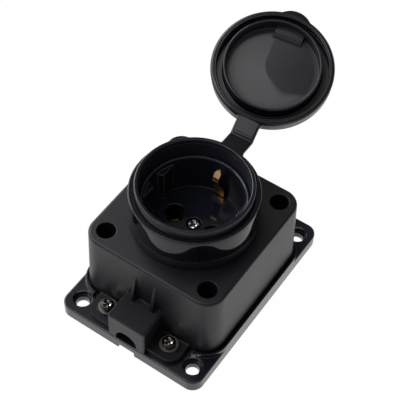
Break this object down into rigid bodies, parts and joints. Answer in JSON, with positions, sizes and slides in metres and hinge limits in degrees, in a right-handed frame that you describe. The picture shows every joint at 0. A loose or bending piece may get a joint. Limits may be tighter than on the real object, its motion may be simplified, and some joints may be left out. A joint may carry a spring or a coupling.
{
  "type": "outdoor weatherproof socket",
  "caption": "Surface-mounted outdoor socket in a black box on a screw-down plate, with a round collar, rubber lid on a strap and a cable entry.",
  "frame": {"origin": "middle of the base plate's underside, on the wall face", "axes": "+Z out of the wall towards the collar, -Y towards the cable entry, +Y towards the lid's strap"},
  "size_m": [0.0694, 0.1393, 0.079],
  "materials": {
    "matte_shell": "fine matte grain, black",
    "gloss_shell": "smooth moulded, black",
    "carrier": "moulded, dark grey",
    "rubber": "satin, black",
    "seal": "matte, black",
    "steel": "bright plated",
    "brass": "plain, bright"
  },
  "bodies": {
    "socket_body": {"base_gasket": "seal", "base_plate": "matte_shell", "cap_sleeve": "rubber", "centre_screw": "steel", "collar": "gloss_shell", "collar_gasket": "seal", "contact_carrier": "carrier", "corner_insert_1": "brass", "corner_insert_2": "brass", "corner_insert_3": "brass", "corner_insert_4": "brass", "corner_screw_1": "steel", "corner_screw_2": "steel", "corner_screw_3": "steel", "corner_screw_4": "steel", "ear_insert_left": "brass", "ear_insert_right": "brass", "ear_screw_left": "steel", "ear_screw_right": "steel", "ear_washer_left": "steel", "ear_washer_right": "steel", "earth_bracket": "brass", "earth_terminal_screw": "steel", "housing": "matte_shell", "insert_gasket": "seal", "insert_screw_1": "steel", "insert_screw_2": "steel", "insert_screw_3": "steel", "insert_screw_4": "steel", "live_contact": "brass", "live_terminal_screw": "steel", "neutral_contact": "brass", "neutral_terminal_screw": "steel", "socket_insert": "gloss_shell"},
    "lid_body": {"cap_lid": "rubber"}
  },
  "joints": [
    {"name": "lid_hinge", "type": "hinge", "parent": "socket_body", "child": "lid_body", "pos_m": [0, 0.03365, 0.05828], "axis": [0.993, 0.0979, -0.0663], "range_deg": [-19, 160.7]}
  ]
}
